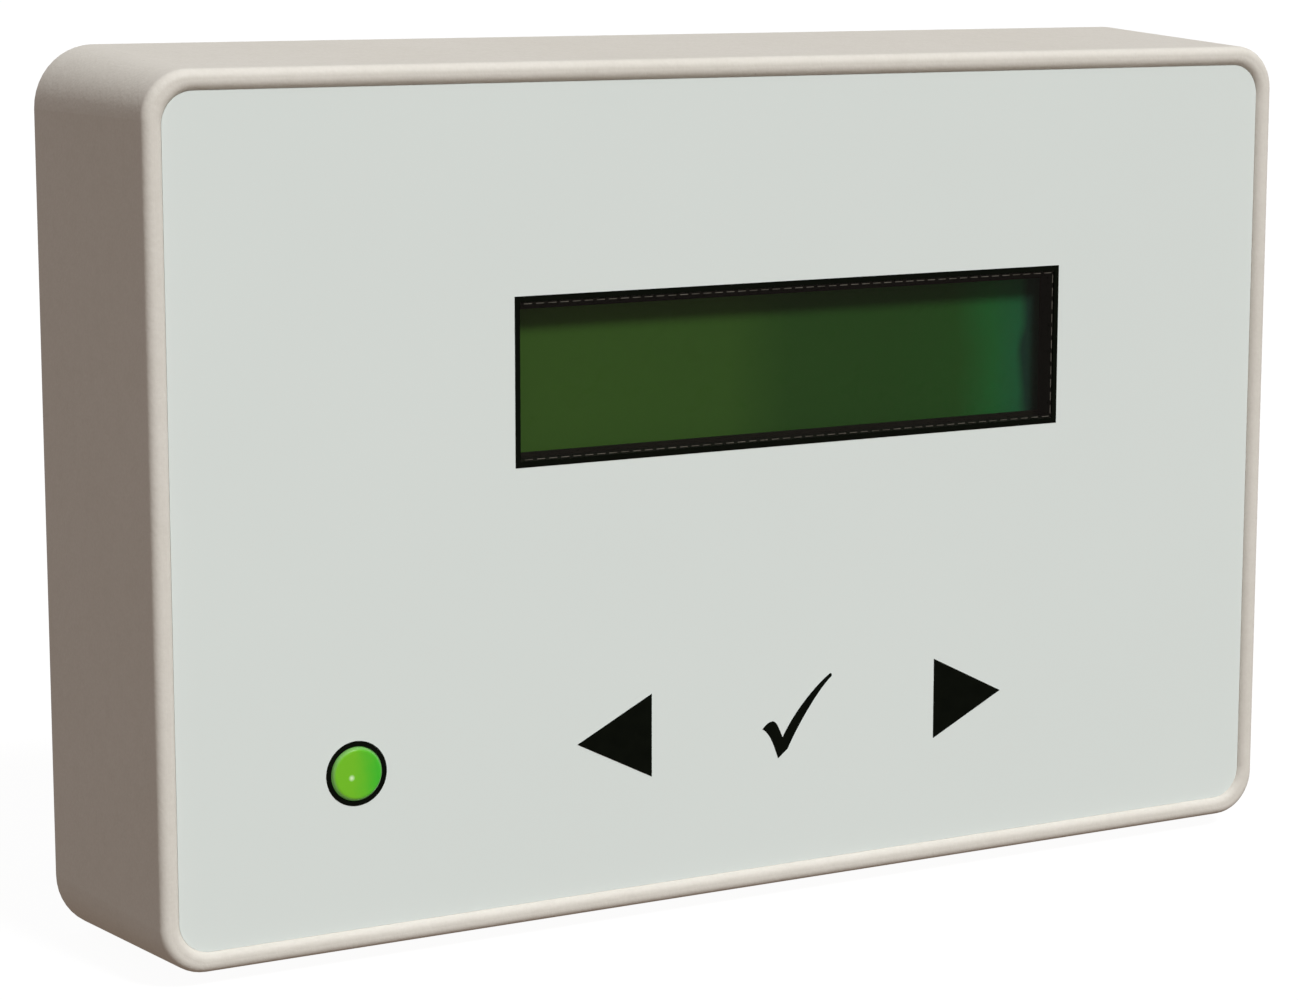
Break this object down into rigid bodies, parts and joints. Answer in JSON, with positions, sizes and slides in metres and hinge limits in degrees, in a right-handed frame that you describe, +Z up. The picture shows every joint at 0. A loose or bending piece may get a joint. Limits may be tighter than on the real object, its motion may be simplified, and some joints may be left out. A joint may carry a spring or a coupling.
{
  "type": "wall time and attendance terminal",
  "caption": "Shallow wall-mounted attendance clock with a character display, a status light and label keys for left, confirm and right.",
  "frame": {"origin": "centre of the rear face, on the wall", "axes": "+X to the right as the user sees the front, +Y into the wall, +Z up; the front looks along -Y"},
  "size_m": [0.1354, 0.025, 0.0894],
  "materials": {
    "case_abs": "fine spark-eroded texture, warm off-white",
    "label_film": "very fine matt screen-printed polyester",
    "window_film": "clear, lightly hard-coated",
    "green_lens": "translucent green",
    "black_steel": "satin black",
    "display_cell": "green reflective polariser",
    "clear_acrylic": "clear, polished",
    "zebra_rubber": "black striped",
    "board_green": "green solder mask",
    "black_resin": "moulded black epoxy",
    "black_plastic": "moulded black nylon",
    "gold_pins": "gold-flashed",
    "zinc_screws": "bright zinc plated",
    "nickel_can": "nickel plated",
    "aluminium_can": "bright can",
    "resistor_ceramic": "black glazed",
    "cell_steel": "nickel-plated steel",
    "terminal_green": "moulded green polyamide",
    "copper_wire": "enamelled copper",
    "plate_abs": "moulded, lightly textured",
    "black_rubber": "moulded",
    "plunger_abs": "natural white, moulded",
    "stem_plastic": "moulded black"
  },
  "bodies": {
    "case": {"front_case": "case_abs", "graphic_overlay": "label_film", "display_window": "window_film", "status_lens": "green_lens", "lcd_bezel": "black_steel", "lcd_glass": "display_cell", "lcd_light_guide": "clear_acrylic", "lcd_rubber_connectors": "zebra_rubber", "lcd_board": "board_green", "lcd_driver_domes": "black_resin", "lcd_header_strip": "black_plastic", "lcd_header_pins": "gold_pins", "lcd_screws": "zinc_screws", "main_board": "board_green", "main_board_screws": "zinc_screws", "controller_chip": "black_resin", "memory_chip": "black_resin", "reader_chip": "black_resin", "crystal": "nickel_can", "regulator": "black_resin", "smoothing_capacitors": "aluminium_can", "chip_resistors": "resistor_ceramic", "status_light": "green_lens", "buzzer": "black_plastic", "coin_cell_holder": "black_plastic", "coin_cell": "cell_steel", "terminal_block": "terminal_green", "terminal_screws": "zinc_screws", "antenna_bobbin": "black_plastic", "antenna_coil": "copper_wire", "antenna_pins": "gold_pins", "locking_screws": "zinc_screws", "wall_plate": "plate_abs", "cable_grommet": "black_rubber", "left_switch": "black_plastic", "ok_switch": "black_plastic", "right_switch": "black_plastic"},
    "left_key": {"left_key_film": "label_film", "left_key_plunger": "plunger_abs", "left_switch_stem": "stem_plastic"},
    "ok_key": {"ok_key_film": "label_film", "ok_key_plunger": "plunger_abs", "ok_switch_stem": "stem_plastic"},
    "right_key": {"right_key_film": "label_film", "right_key_plunger": "plunger_abs", "right_switch_stem": "stem_plastic"}
  },
  "joints": [
    {"name": "left_key_press", "type": "slide", "parent": "case", "child": "left_key", "axis": [0, 1, 0], "range_m": [0, 0.0004], "stiffness_N_per_m": 500, "springref_m": -0.0006},
    {"name": "ok_key_press", "type": "slide", "parent": "case", "child": "ok_key", "axis": [0, 1, 0], "range_m": [0, 0.0004], "stiffness_N_per_m": 500, "springref_m": -0.0006},
    {"name": "right_key_press", "type": "slide", "parent": "case", "child": "right_key", "axis": [0, 1, 0], "range_m": [0, 0.0004], "stiffness_N_per_m": 500, "springref_m": -0.0006}
  ]
}
